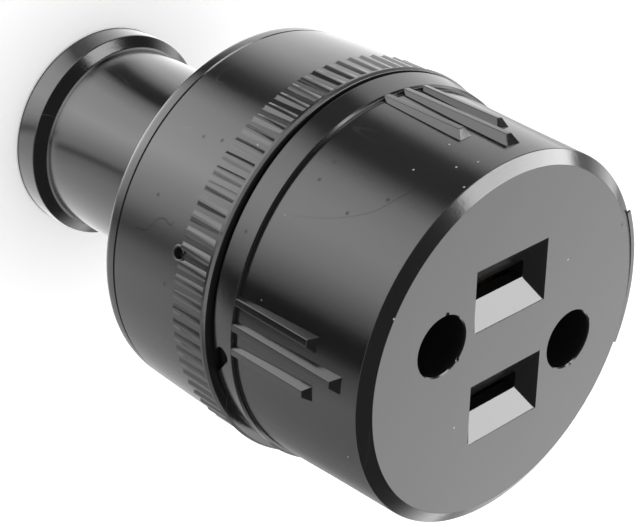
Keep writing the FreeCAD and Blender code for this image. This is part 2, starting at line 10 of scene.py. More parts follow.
# %% Load the frame
import bpy
import bmesh
from math import asin, cos, degrees, pi, radians, sin, tan
from mathutils import Matrix, Vector
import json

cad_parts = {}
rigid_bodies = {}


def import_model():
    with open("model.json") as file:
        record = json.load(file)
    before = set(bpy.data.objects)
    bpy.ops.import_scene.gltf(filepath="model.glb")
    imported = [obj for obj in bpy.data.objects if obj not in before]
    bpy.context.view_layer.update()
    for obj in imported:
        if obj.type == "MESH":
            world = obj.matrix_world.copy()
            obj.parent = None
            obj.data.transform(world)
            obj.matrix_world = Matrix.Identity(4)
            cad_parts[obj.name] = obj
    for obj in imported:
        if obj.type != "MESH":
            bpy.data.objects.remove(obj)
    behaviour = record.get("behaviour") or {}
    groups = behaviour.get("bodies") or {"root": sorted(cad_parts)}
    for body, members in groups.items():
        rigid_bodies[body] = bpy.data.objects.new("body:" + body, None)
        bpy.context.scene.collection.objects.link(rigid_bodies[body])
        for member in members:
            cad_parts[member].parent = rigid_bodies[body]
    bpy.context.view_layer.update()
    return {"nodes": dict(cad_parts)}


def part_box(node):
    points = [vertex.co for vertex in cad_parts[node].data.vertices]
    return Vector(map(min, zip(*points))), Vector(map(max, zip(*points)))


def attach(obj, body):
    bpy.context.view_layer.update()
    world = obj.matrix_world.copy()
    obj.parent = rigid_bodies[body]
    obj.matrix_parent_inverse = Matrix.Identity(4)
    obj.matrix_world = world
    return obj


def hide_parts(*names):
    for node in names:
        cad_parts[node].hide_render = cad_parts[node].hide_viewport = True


for leftover in list(bpy.data.objects):
    bpy.data.objects.remove(leftover)
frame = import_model()

# %% [markdown]
# ## Heights of the stack
#
# The axis of the connector is Z. It stands on the collar of its cable neck and its face is on top. These heights
# come from the CAD nodes themselves, so that each new piece lies exactly where the solid lay. The cap and the band
# keep a thin seam between them.

# %% Measure the CAD nodes
def top_and_bottom(node):
    low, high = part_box(node)
    return low[2] * 1000, high[2] * 1000


SPIGOT_END, FACE = top_and_bottom("front_body")
CAP_RIM = top_and_bottom("rear_cap")[1]
FLOOR = top_and_bottom("contact_retainer")[1]
BAND_END = CAP_RIM + 0.2
STEP = BAND_END + 3.1
NECK = 27.0
print("spigot %.1f, floor %.1f, band %.1f, step %.1f, face %.1f" % (SPIGOT_END, FLOOR, BAND_END, STEP, FACE))

# %% [markdown]
# ## Selecting with care
#
# An operator acts on all that is selected, and the imported nodes come selected. So each step starts by clearing the
# selection, and faces or edges are then picked by a test on their place.

# %% Selection helpers
def clear():
    if bpy.context.object and bpy.context.object.mode != "OBJECT":
        bpy.ops.object.mode_set(mode="OBJECT")
    bpy.ops.object.select_all(action="DESELECT")


def take(piece):
    clear()
    bpy.context.view_layer.objects.active = piece
    piece.select_set(True)


def pick(piece, kind, test):
    """Selects the faces, edges or vertices of a piece in edit mode whose middle passes a test."""
    take(piece)
    bpy.ops.object.mode_set(mode="EDIT")
    bpy.ops.mesh.select_mode(type=kind)
    bpy.ops.mesh.select_all(action="DESELECT")
    mesh = bmesh.from_edit_mesh(piece.data)
    for item in {"FACE": mesh.faces, "EDGE": mesh.edges, "VERT": mesh.verts}[kind]:
        corners = [item] if kind == "VERT" else item.verts
        middle = sum((corner.co for corner in corners), Vector()) / len(corners)
        if test(middle, item):
            item.select_set(True)
    bmesh.update_edit_mesh(piece.data)


def settle(piece):
    """Puts the object at the origin, unturned and unscaled, with its place in its mesh."""
    take(piece)
    bpy.ops.object.transform_apply(location=True, rotation=True, scale=True)
    return piece


print("selection helpers ready")

# %% [markdown]
# ## Turned shapes
#
# A moulding like this is mostly a turned shape. Its outline can be drawn once as a chain of points, radius by
# height, and spun round the axis, as a potter would. No moulded edge is perfectly sharp, so a corner of the outline
# may carry a third number, the radius that rounds it. That small round is what catches a line of light.

# %% Draw and spin an outline
def eased(corners, cuts=4):
    """Rounds each corner of a closed outline that carries a rounding radius."""
    points = []
    for index, corner in enumerate(corners):
        here = Vector(corner[:2])
        if len(corner) == 2:
            points.append(here)
            continue
        before = (Vector(corners[index - 1][:2]) - here).normalized()
        after = (Vector(corners[(index + 1) % len(corners)][:2]) - here).normalized()
        half = before.angle(after) / 2
        middle = here + (before + after).normalized() * (corner[2] / sin(half))
        first = here + before * (corner[2] / tan(half)) - middle
        last = here + after * (corner[2] / tan(half)) - middle
        sweep = first.angle_signed(last)
        for cut in range(cuts + 1):
            points.append(middle + Matrix.Rotation(-sweep * cut / cuts, 2) @ first)
    return points


def turned(name, corners, steps):
    """Spins a closed outline round the axis."""
    points = eased(corners)
    clear()
    bpy.ops.mesh.primitive_plane_add(size=0.1, location=(points[0].x, 0, points[0].y))
    piece = bpy.context.object
    piece.name = name
    bpy.ops.object.mode_set(mode="EDIT")
    bpy.ops.mesh.select_mode(type="VERT")
    bpy.ops.mesh.merge(type="CENTER")
    for here, there in zip(points, points[1:] + points[:1]):
        step = there - here
        bpy.ops.mesh.extrude_region_move(TRANSFORM_OT_translate={"value": (step.x, 0, step.y)})
    bpy.ops.mesh.select_all(action="SELECT")
    bpy.ops.mesh.spin(steps=steps, angle=2 * pi, center=(0, 0, 0), axis=(0, 0, 1))
    bpy.ops.mesh.select_all(action="SELECT")
    bpy.ops.mesh.remove_doubles(threshold=0.0005)
    bpy.ops.mesh.normals_make_consistent(inside=False)
    settle(piece)
    print("%s: %d points, %d faces" % (name, len(points), len(piece.data.polygons)))
    return piece


print("outlines can be drawn and spun")

# %% [markdown]
# ## Joining and cutting
#
# Ribs, lugs and fingers are joined to the turned shape, and holes are cut out of it, with the Boolean modifier. The
# exact solver is slower than the fast one, but it copes with faces that lie in one plane. What repeats is modelled
# once and copied round the axis before it is joined.

# %% Boolean helpers
def combine(piece, tool, how):
    modifier = piece.modifiers.new(how.lower(), "BOOLEAN")
    modifier.operation = how
    modifier.solver = "EXACT"
    modifier.object = tool
    take(piece)
    bpy.ops.object.modifier_apply(modifier=modifier.name)
    bpy.data.objects.remove(tool)
    print("%s: %s, now %d faces" % (piece.name, how.lower(), len(piece.data.polygons)))


def copies(tool, angles):
    """Copies a tool round the axis, each copy with its own mesh, and joins the copies to one object."""
    settle(tool)
    ring = []
    for angle in angles:
        copy = tool.copy()
        copy.data = tool.data.copy()
        bpy.context.collection.objects.link(copy)
        copy.rotation_euler.z = radians(angle)
        ring.append(copy)
    bpy.data.objects.remove(tool)
    clear()
    for copy in ring:
        copy.select_set(True)
    bpy.context.view_layer.objects.active = ring[0]
    bpy.ops.object.join()
    return settle(ring[0])


def box(name, low, high):
    """A box between two corners."""
    clear()
    middle = (Vector(low) + Vector(high)) / 2
    bpy.ops.mesh.primitive_cube_add(size=1, location=middle, scale=Vector(high) - Vector(low))
    bpy.context.object.name = name
    return settle(bpy.context.object)


def round_bar(name, radius, x, y, low, high, corners=64):
    """An upright round bar."""
    clear()
    bpy.ops.mesh.primitive_cylinder_add(
        vertices=corners, radius=radius, depth=high - low, location=(x, y, (low + high) / 2))
    bpy.context.object.name = name
    return settle(bpy.context.object)


def ease_edges(piece, width, cuts, test):
    """Bevels the edges of a piece that pass a test."""
    pick(piece, "EDGE", test)
    bpy.ops.mesh.bevel(offset=width, segments=cuts, affect="EDGES", clamp_overlap=True)
    clear()
    return piece


def resize(factor, about):
    bpy.ops.transform.resize(value=factor, center_override=about)


print("Boolean helpers ready")

# %% [markdown]
# ## The front moulding: its turned shape
#
# From the face down: a flat face with a chamfer that catches the light, a barrel that widens a little towards the
# band because a moulding needs draft to leave its mould, the step up to the smooth band, and the spigot that goes
# into the cap.

# %% Turn the front
FACE_EDGE = 19.62
BARREL_FOOT = 20.05
BAND = 20.5
SPIGOT = 18.3
front = turned("front_moulding", [
    (0, FACE), (9.0, FACE), (18.2, FACE, 0.1), (FACE_EDGE - 0.06, FACE - 0.8, 0.12),
    (FACE_EDGE + 0.14, (FACE + STEP) / 2), (BARREL_FOOT, STEP, 0.03), (BAND - 0.2, STEP, 0.05),
    (BAND, STEP - 0.22, 0.08), (BAND, BAND_END + 0.35, 0.2), (BAND - 0.3, BAND_END, 0.1),
    (SPIGOT, BAND_END), (SPIGOT, SPIGOT_END, 0.2), (SPIGOT - 2.0, SPIGOT_END, 0.2), (SPIGOT - 2.0, FLOOR),
    (9.0, FLOOR), (0, FLOOR),
], 360)

# %% [markdown]
# ## The seam isn't even
#
# On the real piece the seam is a hair's breadth on one side and opens to a dark gap on the other. The rear edge of
# the band is a little off centre, so its corners are pushed sideways by less than half a millimetre. They also come
# a little closer to the cap, which leaves a gap of 0.12 mm.

# %% Push the band's rear edge off centre
SEAM_PUSH = 0.43
SEAM_SIDE = radians(-105)
SEAM_DROP = 0.08
pick(front, "VERT", lambda middle, corner: BAND_END - 0.01 < middle.z < BAND_END + 0.6
     and middle.xy.length > SPIGOT + 0.5)
bpy.ops.transform.translate(value=(SEAM_PUSH * cos(SEAM_SIDE), SEAM_PUSH * sin(SEAM_SIDE), -SEAM_DROP))
clear()
print("rear edge of the band moved by", SEAM_PUSH, "mm")

# %% [markdown]
# ## Grip ribs
#
# Four groups of three ribs lie round the barrel. Each rib is a bar with a narrow flat top, sloping sides and a
# sloping front end, so it mirrors three different parts of the room. A rib starts as a box that is sunk into the
# barrel, its outer face is drawn in, its front end is pulled back, and the edges are eased. The middle rib of each
# group is longer.

# %% Model and join the ribs
RIB_TOP = BAND - 0.03
RIB_ROOT = FACE_EDGE - 0.5
RIB_FLAT = 0.7
SIDE_SLOPE, END_SLOPE = 0.625, 0.88
LONG_RIB, SHORT_RIB = 13.2, 9.7
RIB_GAP = 7.5


def rib(length):
    rise = RIB_TOP - RIB_ROOT
    foot = RIB_FLAT + 2 * SIDE_SLOPE * rise
    bar = box("rib", (RIB_ROOT, -foot / 2, STEP - 0.35), (RIB_TOP, foot / 2, STEP + length + END_SLOPE * rise))
    pick(bar, "FACE", lambda middle, face: middle.x > RIB_TOP - 0.01)
    resize((1, RIB_FLAT / foot, 1), (RIB_TOP, 0, 0))
    pick(bar, "EDGE", lambda middle, edge: middle.x > RIB_TOP - 0.01 and middle.z > STEP + length)
    bpy.ops.transform.translate(value=(0, 0, -END_SLOPE * rise))
    return ease_edges(bar, 0.07, 2, lambda middle, edge: middle.x > RIB_ROOT + 0.2)


GROUPS = [83.3 + 90 * group for group in range(4)]
combine(front, copies(rib(LONG_RIB), GROUPS), "UNION")
combine(front, copies(rib(SHORT_RIB), [group + side * RIB_GAP for group in GROUPS for side in (-1, 1)]), "UNION")

# %% [markdown]
# ## Bayonet lugs
#
# Two small lugs on the spigot lock into grooves inside the cap. They are never seen from outside, but a take-apart
# view shows them, so they are plain blocks in their real place.

# %% Join the lugs
LUG_TOP = BAND_END - 2.6
LUG_RISE = 0.9
LUG_ANGLE = 60
lug = box("lug", (SPIGOT - 1.0, -2.0, LUG_TOP - 2.0), (SPIGOT + LUG_RISE, 2.0, LUG_TOP))
ease_edges(lug, 0.15, 2, lambda middle, edge: middle.x > SPIGOT + 0.8)
combine(front, copies(lug, (LUG_ANGLE, LUG_ANGLE + 180)), "UNION")

# %% [markdown]
# ## Slots and their funnels
#
# A wide funnel with four sloping walls guides each blade into its slot. The cutting tool is a box whose lower face
# is drawn in, and its top is flared once more, so the mouth of the funnel gets the small bevel that every moulded
# edge has. Below it follow the slot and the pocket in which the brass contact sits.

# %% Cut the funnels, slots and pockets
BOTH_SIDES = (0, 180)
SLOT_Y = -6.35
FUNNEL = (9.7, 6.6, 1.6)
SLOT = (6.8, 1.9)
POCKET = (6.6, 5.0)
MOUTH_BEVEL = 0.12
MOUTH_FLARE = 1.3


def funnel():
    length, width, depth = FUNNEL
    tool = box("funnel", (-length / 2, SLOT_Y - width / 2, FACE - depth), (length / 2, SLOT_Y + width / 2, FACE))
    pick(tool, "FACE", lambda middle, face: middle.z < FACE - depth + 0.01)
    resize((SLOT[0] / length, SLOT[1] / width, 1), (0, SLOT_Y, FACE - depth))
    bpy.ops.mesh.bevel(offset=0.12, segments=2, affect="EDGES")
    pick(tool, "FACE", lambda middle, face: middle.z > FACE - 0.01)
    bpy.ops.mesh.extrude_region_move(TRANSFORM_OT_translate={"value": (0, 0, 0.5)})
    resize((1 + MOUTH_FLARE / length, 1 + MOUTH_FLARE / width, 1), (0, SLOT_Y, FACE))
    pick(tool, "VERT", lambda middle, corner: abs(middle.z - FACE) < 0.001)
    bpy.ops.transform.translate(value=(0, 0, -MOUTH_BEVEL))
    ease_edges(tool, 0.16, 3, lambda middle, edge: abs(middle.z - FACE + depth / 2) < 0.4)
    return tool


def slot_tool(size, low, high, round_off):
    length, width = size
    tool = box("slot", (-length / 2, SLOT_Y - width / 2, low), (length / 2, SLOT_Y + width / 2, high))
    return ease_edges(tool, round_off, 3, lambda middle, edge: abs(middle.z - (low + high) / 2) < 0.01)


combine(front, copies(funnel(), BOTH_SIDES), "DIFFERENCE")
combine(front, copies(slot_tool(SLOT, FACE - 3.6, FACE - 1.0, 0.15), BOTH_SIDES), "DIFFERENCE")
combine(front, copies(slot_tool(POCKET, FLOOR - 1.0, FACE - 3.0, 0.1), BOTH_SIDES), "DIFFERENCE")

# %% [markdown]
# ## Round holes
#
# A screwdriver goes through each of the two round holes to a terminal screw. The hole is a bar with a flared top
# for the worn, slightly blunt mouth. Under it lies the narrower hole for the screw's shank, and beside it the room
# for the contact's foot. Two more holes from below take the screws that hold the retainer. Each tool is made once
# and cuts on both sides of the axis.

# %% Cut the round holes
SCREW = (9.3, -3.5)
DRIVER_RADIUS = 3.15
HEAD_SEAT = FACE - 14.0
BELOW = FLOOR - 1.0
FOOT_ROOF = FLOOR + 1.1
FOOT_HALF = 3.2


def driver_hole():
    tool = round_bar("driver_hole", DRIVER_RADIUS, *SCREW, HEAD_SEAT, FACE - 0.13, 96)
    pick(tool, "FACE", lambda middle, face: middle.z > FACE - 0.2)
    bpy.ops.mesh.extrude_region_move(TRANSFORM_OT_translate={"value": (0, 0, 0.33)})
    resize((1.09, 1.09, 1), (*SCREW, FACE))
    return tool


HOLES = [
    driver_hole(),
    round_bar("shank_hole", 1.9, *SCREW, BELOW, HEAD_SEAT + 0.5, 48),
    round_bar("foot_end", 3.3, *SCREW, BELOW, FOOT_ROOF, 64),
    box("foot_room", (0, SCREW[1] - FOOT_HALF, BELOW), (SCREW[0], SCREW[1] + FOOT_HALF, FOOT_ROOF)),
    round_bar("hold_hole", 1.55, 0, -12.9, BELOW, FLOOR + 10.0, 48),
]
for hole in HOLES:
    combine(front, copies(hole, BOTH_SIDES), "DIFFERENCE")

# %% [markdown]
# ## The slanted notch
#
# A short slanting slot with a rounded end opens from the seam into the band. It shows where the cap's index mark
# has to be for the cap to come off. The tool is a flat bar with round ends, turned to its slant before it is moved
# out to the band.

# %% Cut the notch
NOTCH_ANGLE = 5.4
NOTCH_HALF = 0.875
NOTCH_SLANT = radians(-130)
notch = box("notch", (BAND - 1.1, -NOTCH_HALF, -1.5), (BAND + 1.0, NOTCH_HALF, 2.4))
ease_edges(notch, 0.72, 6, lambda middle, edge: abs(middle.x - BAND + 0.05) < 0.01 and middle.z < 0)
notch.rotation_euler.x = NOTCH_SLANT
notch.location = (0, 0, BAND_END + 1.0)
settle(notch)
combine(front, copies(notch, (NOTCH_ANGLE,)), "DIFFERENCE")

# %% [markdown]
# ## Nicks and flash
#
# Wear belongs to the object. The round holes have small nicks in their mouths, where a screwdriver slipped, and a
# thin fin of flash was left on a part of the face's edge when it was moulded. A nick is a small ball that is cut
# out; its list gives where it lies on the face and its radius. The fin is a thin strip that is spun through a part
# of a turn round a point beside the axis, so it fades out.

# %% Cut the nicks and add the fin of flash
NICKS = [(8.8, -6.75, 0.34), (7.1, -1.15, 0.3), (6.35, -4.3, 0.2), (-9.9, 6.7, 0.22), (-12.3, 2.4, 0.2)]
FIN_START = 203
FIN_SWEEP = radians(46)
FIN_OFFSET = 0.35
for x, y, radius in NICKS:
    clear()
    bpy.ops.mesh.primitive_ico_sphere_add(subdivisions=2, radius=radius, location=(x, y, FACE + radius * 0.35))
    combine(front, settle(bpy.context.object), "DIFFERENCE")
clear()
bpy.ops.mesh.primitive_cube_add(size=1, location=(FACE_EDGE - 0.12, 0, FACE - 0.62), scale=(0.5, 0.001, 0.22))
fin = settle(bpy.context.object)
pick(fin, "FACE", lambda middle, face: middle.y > 0)
bpy.ops.mesh.spin(steps=30, angle=FIN_SWEEP, center=(0, FIN_OFFSET, 0), axis=(0, 0, 1))
bpy.ops.mesh.select_all(action="SELECT")
bpy.ops.mesh.remove_doubles(threshold=0.002)
bpy.ops.mesh.normals_make_consistent(inside=False)
combine(front, copies(fin, (FIN_START,)), "UNION")

# %% [markdown]
# ## The rear cap: its turned shape
#
# The cap is one moulding with its cable neck. It has a thin lip at the rim, a drum that tapers a little towards the
# rear, a fine line where the mould parts, a rounded rear edge, the neck and the collar at its end.

# %% Turn the cap
INSIDE = SPIGOT + 0.2
INSIDE_FLOOR = NECK + 2.4
DRUM = 20.8
MARK_END = CAP_RIM - 5.3
NECK_RADIUS = 10.8
COLLAR = 12.1
BORE = 7.0
cap = turned("cap_moulding", [
    (21.02, CAP_RIM, 0.1), (21.2, CAP_RIM - 0.4, 0.05), (21.12, CAP_RIM - 0.46), (21.12, CAP_RIM - 0.56),
    (DRUM, CAP_RIM - 0.6), (DRUM, MARK_END), (20.7, NECK + 7.0), (20.55, NECK + 2.14), (20.55, NECK + 2.1),
    (20.4, NECK + 2.0), (20.4, NECK + 1.9), (20.52, NECK + 1.8), (20.5, NECK, 1.0), (15.0, NECK),
    (NECK_RADIUS, NECK, 1.5), (NECK_RADIUS, NECK - 9.0), (NECK_RADIUS, 4.25, 0.5), (COLLAR, 3.25, 0.22),
    (COLLAR, 0, 0.4), (BORE + 0.8, 0, 0.15), (BORE, 0.8, 0.2), (BORE, INSIDE_FLOOR, 0.3),
    (INSIDE, INSIDE_FLOOR, 0.3), (INSIDE, CAP_RIM, 0.12),
], 320)

# %% [markdown]
# ## Fingers of the knurl
#
# Behind the lip, eighty raised fingers reach back from a raised ring, so that the cap can be gripped. Looked at
# from above, one finger with its share of the ring is a letter T. It starts as a flat box whose end is drawn in, the
# crossbar of the T is extruded from it, its sides are sloped, and its corners and upper edges are rounded. Then it is
# rolled on to the drum: its place across becomes an angle and its height a radius. Eighty copies meet at their sides
# and are welded.

# %% Model one finger and repeat it
FINGERS = 80
PITCH = 360 / FINGERS
FINGER_TOP = 21.0
FINGER_ROOT = 20.65
HALF_PITCH = pi * FINGER_TOP / FINGERS
RING = CAP_RIM - 1.0
FINGER_END = RING - 4.3
FOOT = 0.76
TIP_SHARE = 0.76
TOP_SHARE = 0.28
TOP_LIFT = 0.16


def finger():
    """One finger with its share of the ring, flat, with x across and y as its height."""
    half_height = (FINGER_TOP + FINGER_ROOT) / 2
    tool = box("finger", (-FOOT, FINGER_ROOT, FINGER_END), (FOOT, FINGER_TOP, RING))
    # The end is narrower than the root.
    pick(tool, "FACE", lambda middle, face: middle.z < FINGER_END + 0.01)
    resize((TIP_SHARE, 1, 1), (0, 0, 0))
    # The ring's share is the crossbar of the T.
    pick(tool, "FACE", lambda middle, face: middle.z > RING - 0.01)
    bpy.ops.mesh.extrude_region_move(TRANSFORM_OT_translate={"value": (0, 0, 0.5)})
    for side in (-1, 1):
        pick(tool, "FACE", lambda middle, face: middle.x * side > 0.65 and middle.z > RING)
        bpy.ops.mesh.extrude_region_move(TRANSFORM_OT_translate={"value": (side * (HALF_PITCH - FOOT), 0, 0)})
    # The sides slope up to a narrow ridge that runs into the ring.
    pick(tool, "VERT", lambda middle, corner: middle.y > FINGER_TOP - 0.01 and middle.z < RING + 0.01
         and abs(middle.x) < FOOT + 0.01)
    resize((TOP_SHARE, 1, 1), (0, 0, 0))
    bpy.ops.transform.translate(value=(0, 0, TOP_LIFT))
    # The gap's end, the finger's end and the upper edges are rounded.
    ease_edges(tool, 0.2, 4, lambda middle, edge: edge.is_manifold and abs(middle.z - RING - TOP_LIFT / 2) < 0.02
               and 0.42 < abs(middle.x) < 0.5 and abs(middle.y - half_height) < 0.01)
    ease_edges(tool, 0.3, 5, lambda middle, edge: middle.z < FINGER_END + 0.1 and 0.3 < abs(middle.x) < 0.4)
    pick(tool, "FACE", lambda middle, face: abs(middle.x) > HALF_PITCH - 0.001)
    bpy.ops.mesh.delete(type="FACE")
    ease_edges(tool, 0.15, 3, lambda middle, edge: edge.is_manifold and middle.y > FINGER_TOP - 0.001
               and edge.calc_face_angle() > 0.5 and middle.z < RING + 0.4)
    return tool


def roll(piece):
    """Rolls a flat piece on to the drum: x becomes an angle and y a radius."""
    mesh = bmesh.new()
    mesh.from_mesh(piece.data)
    for corner in mesh.verts:
        angle = corner.co.x / FINGER_TOP
        corner.co = Vector((corner.co.y * cos(angle), corner.co.y * sin(angle), corner.co.z))
    mesh.to_mesh(piece.data)
    mesh.free()
    return piece


INDEX_ANGLE = -18.8
knurl = copies(roll(settle(finger())), [INDEX_ANGLE + PITCH * (place + 0.5) for place in range(FINGERS)])
take(knurl)
bpy.ops.object.mode_set(mode="EDIT")
bpy.ops.mesh.select_mode(type="VERT")
bpy.ops.mesh.select_all(action="SELECT")
bpy.ops.mesh.remove_doubles(threshold=0.001)
bpy.ops.mesh.normals_make_consistent(inside=False)
clear()
print("knurl:", len(knurl.data.polygons), "faces")
combine(cap, knurl, "UNION")

# %% [markdown]
# ## Index mark
#
# A dimple at the end of one gap between two fingers marks the cap's place. The mould left a small raised rim round
# it, which shows as a bright hook of light. The rim is a ring sunk into the drum, and the dimple is a short blunt
# cone cut through it. A shallow channel runs from the dimple along the gap to the raised ring.

# %% Rim and dimple of the index mark
INDEX = (DRUM * cos(radians(INDEX_ANGLE)), DRUM * sin(radians(INDEX_ANGLE)), MARK_END)
ACROSS = (0, pi / 2, radians(INDEX_ANGLE))
clear()
bpy.ops.mesh.primitive_torus_add(major_segments=32, minor_segments=10, major_radius=0.74, minor_radius=0.15,
                                 location=INDEX, rotation=ACROSS)
combine(cap, settle(bpy.context.object), "UNION")
clear()
bpy.ops.mesh.primitive_cone_add(vertices=32, radius1=0.46, radius2=0.72, depth=1.2, location=INDEX, rotation=ACROSS)
combine(cap, settle(bpy.context.object), "DIFFERENCE")
channel = box("channel", (DRUM - 0.25, -0.24, CAP_RIM - 5.0), (DRUM + 0.5, 0.24, CAP_RIM - 1.4))
combine(cap, copies(channel, (INDEX_ANGLE,)), "DIFFERENCE")

# %% [markdown]
# ## Bayonet grooves
#
# Inside the cap, each lug slides up an entry and then along a run as the cap is twisted. A run is a short wall that
# is spun through the angle of the twist, so it keeps its distance from the axis.

# %% Cut the bayonet grooves
TWIST = NOTCH_ANGLE - INDEX_ANGLE
GROOVE = SPIGOT + LUG_RISE + 0.4
ENTRY_HALF = 2.2
HALF_LUG = degrees(asin(ENTRY_HALF / SPIGOT))


def groove_run():
    clear()
    bpy.ops.mesh.primitive_plane_add(size=1, location=((SPIGOT + GROOVE) / 2, 0, LUG_TOP - 1.0),
                                     rotation=(pi / 2, 0, 0))
    tool = bpy.context.object
    tool.scale = (GROOVE - SPIGOT + 0.4, 2.4, 1)
    settle(tool)
    bpy.ops.object.mode_set(mode="EDIT")
    bpy.ops.mesh.select_all(action="SELECT")
    bpy.ops.mesh.spin(steps=12, angle=radians(TWIST + 2 * HALF_LUG), center=(0, 0, 0), axis=(0, 0, 1))
    bpy.ops.mesh.select_all(action="SELECT")
    bpy.ops.mesh.normals_make_consistent(inside=False)
    clear()
    return tool


ENTRY = LUG_ANGLE - TWIST
combine(cap, copies(groove_run(), (ENTRY - HALF_LUG, ENTRY - HALF_LUG + 180)), "DIFFERENCE")
entry = box("entry", (SPIGOT - 0.2, -ENTRY_HALF, LUG_TOP - 2.2), (GROOVE, ENTRY_HALF, CAP_RIM + 0.5))
combine(cap, copies(entry, (ENTRY, ENTRY + 180)), "DIFFERENCE")

# %% [markdown]
# ## Smooth where it is round, crisp where it isn't
#
# Faces that meet at a small angle are shaded as one smooth surface and the others keep their edge. Cutting leaves
# many faces of different sizes, so the normals are then weighted by area, which keeps large flats perfectly flat.
# Last, the piece is brought from millimetres to metres and attached to the body it rides on, and the CAD node it
# replaces is hidden.

# %% Finish the two mouldings
def finish(piece, body, node, crisp_from):
    """Edges sharper than crisp_from, in degrees, keep their edge."""
    take(piece)
    bpy.ops.object.shade_smooth_by_angle(angle=radians(crisp_from))
    weight = piece.modifiers.new("weighted", "WEIGHTED_NORMAL")
    weight.keep_sharp = True
    bpy.ops.object.modifier_apply(modifier=weight.name)
    piece.scale = (0.001, 0.001, 0.001)
    settle(piece)
    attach(piece, body)
    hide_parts(node)
    low, high = [Vector(corner) for corner in (piece.bound_box[0], piece.bound_box[6])]
    print(piece.name, "size in mm", [round(v * 1000, 2) for v in high - low])


finish(front, "body", "front_body", crisp_from=28)
finish(cap, "cap", "rear_cap", crisp_from=40)

# %% [markdown]
# ## Effects that materials share
#
# Old black plastic isn't one colour. It has hairline scratches that wander, dust that settles in specks, and
# patches where handling has polished or dulled it. Each effect is a node group with its own inputs, so that each
# material can ask for its own amount. All of them read Object coordinates, so the pattern stays on the piece.

# %% Helpers for node trees
def new_group(name, inputs, outputs):
    group = bpy.data.node_groups.new(name, "ShaderNodeTree")
    for title, value in inputs:
        socket = group.interface.new_socket(title, in_out="INPUT", socket_type="NodeSocketFloat")
        socket.default_value = value
    for title in outputs:
        group.interface.new_socket(title, in_out="OUTPUT", socket_type="NodeSocketFloat")
    return group, group.nodes.new("NodeGroupInput"), group.nodes.new("NodeGroupOutput")


def add(tree, kind, links=None, **values):
    """Adds a node, sets its properties, and links or sets its sockets by index or name."""
    node = tree.nodes.new(kind)
    for title, value in values.items():
        setattr(node, title, value)
    for socket, source in (links or {}).items():
        if isinstance(source, bpy.types.NodeSocket):
            tree.links.new(source, node.inputs[socket])
        else:
            node.inputs[socket].default_value = source
    return node


def sums(tree, operation, first, second, third=0.0):
    return add(tree, "ShaderNodeMath", {0: first, 1: second, 2: third}, operation=operation).outputs[0]


print("node helpers ready")

# %% Hairline scratches
group, given, result = new_group("hairlines", [("Density", 60.0), ("Width", 0.006), ("Amount", 1.0)], ["Mask"])
place = add(group, "ShaderNodeTexCoord").outputs["Object"]
masks = []
for turn, stretch in (((0.3, 0.2, 0.4), (1.0, 1.0, 0.16)), ((1.1, 0.5, 2.0), (1.0, 0.22, 1.0))):
    turned_place = add(group, "ShaderNodeMapping", {"Vector": place, "Rotation": turn, "Scale": stretch}).outputs[0]
    field = add(group, "ShaderNodeTexNoise", {"Vector": turned_place, "Scale": given.outputs["Density"],
                                              "Detail": 1.0, "Distortion": 0.6}).outputs["Fac"]
    away = sums(group, "ABSOLUTE", sums(group, "SUBTRACT", field, 0.5), 0.0)
    masks.append(sums(group, "LESS_THAN", away, given.outputs["Width"]))
patches = add(group, "ShaderNodeTexNoise", {"Vector": place, "Scale": 130.0, "Detail": 2.0}).outputs["Fac"]
broken = sums(group, "GREATER_THAN", patches, 0.56)
both = sums(group, "MULTIPLY", sums(group, "MAXIMUM", masks[0], masks[1]), broken)
group.links.new(sums(group, "MULTIPLY", both, given.outputs["Amount"]), result.inputs["Mask"])
HAIRLINES = group
print("hairlines:", len(group.nodes), "nodes")

# %% Dust specks
group, given, result = new_group("dust", [("Density", 420.0), ("Size", 0.06), ("Share", 0.1)], ["Mask"])
place = add(group, "ShaderNodeTexCoord").outputs["Object"]
cells = add(group, "ShaderNodeTexVoronoi", {"Vector": place, "Scale": given.outputs["Density"]})
near = sums(group, "LESS_THAN", cells.outputs["Distance"], given.outputs["Size"])
chance = add(group, "ShaderNodeSeparateColor", {0: cells.outputs["Color"]}).outputs[0]
chosen = sums(group, "LESS_THAN", chance, given.outputs["Share"])
group.links.new(sums(group, "MULTIPLY", near, chosen), result.inputs["Mask"])
DUST = group
print("dust:", len(group.nodes), "nodes")

# %% Handling: broad patches that are more polished or more dull
group, given, result = new_group("handling", [("Scale", 90.0), ("From", 0.2), ("To", 0.3)], ["Value", "Grain"])
place = add(group, "ShaderNodeTexCoord").outputs["Object"]
broad = add(group, "ShaderNodeTexNoise", {"Vector": place, "Scale": given.outputs["Scale"], "Detail": 4.0})
spread = add(group, "ShaderNodeMapRange", {"Value": broad.outputs["Fac"], "From Min": 0.3, "From Max": 0.7,
                                           "To Min": given.outputs["From"], "To Max": given.outputs["To"]})
group.links.new(spread.outputs[0], result.inputs["Value"])
fine = add(group, "ShaderNodeTexNoise", {"Vector": place, "Scale": 2600.0, "Detail": 3.0})
group.links.new(fine.outputs["Fac"], result.inputs["Grain"])
HANDLING = group
print("handling:", len(group.nodes), "nodes")

# %% [markdown]
# ## Marks at chosen places
#
# Some marks belong to one place: pale specks of dust, dull spots, and a long hair or scratch that wanders over the
# surface. A speck is a small ball of space round its point. A wandering line is where one coordinate, drawn as a
# curve over another, comes close to the surface's own. All lengths here are in millimetres.

# %% Helpers for placed marks
def specks(tree, place, points, size, soft):
    """A mask that is 1 round each of the points and fades out over the soft edge."""
    total = None
    for point in points:
        away = add(tree, "ShaderNodeVectorMath", {0: place, 1: [part / 1000 for part in point]}, operation="DISTANCE")
        here = add(tree, "ShaderNodeMapRange", {"Value": away.outputs["Value"], "From Min": size / 1000,
                                                "From Max": (size + soft) / 1000, "To Min": 1.0, "To Max": 0.0})
        total = here.outputs[0] if total is None else sums(tree, "MAXIMUM", total, here.outputs[0])
    return total


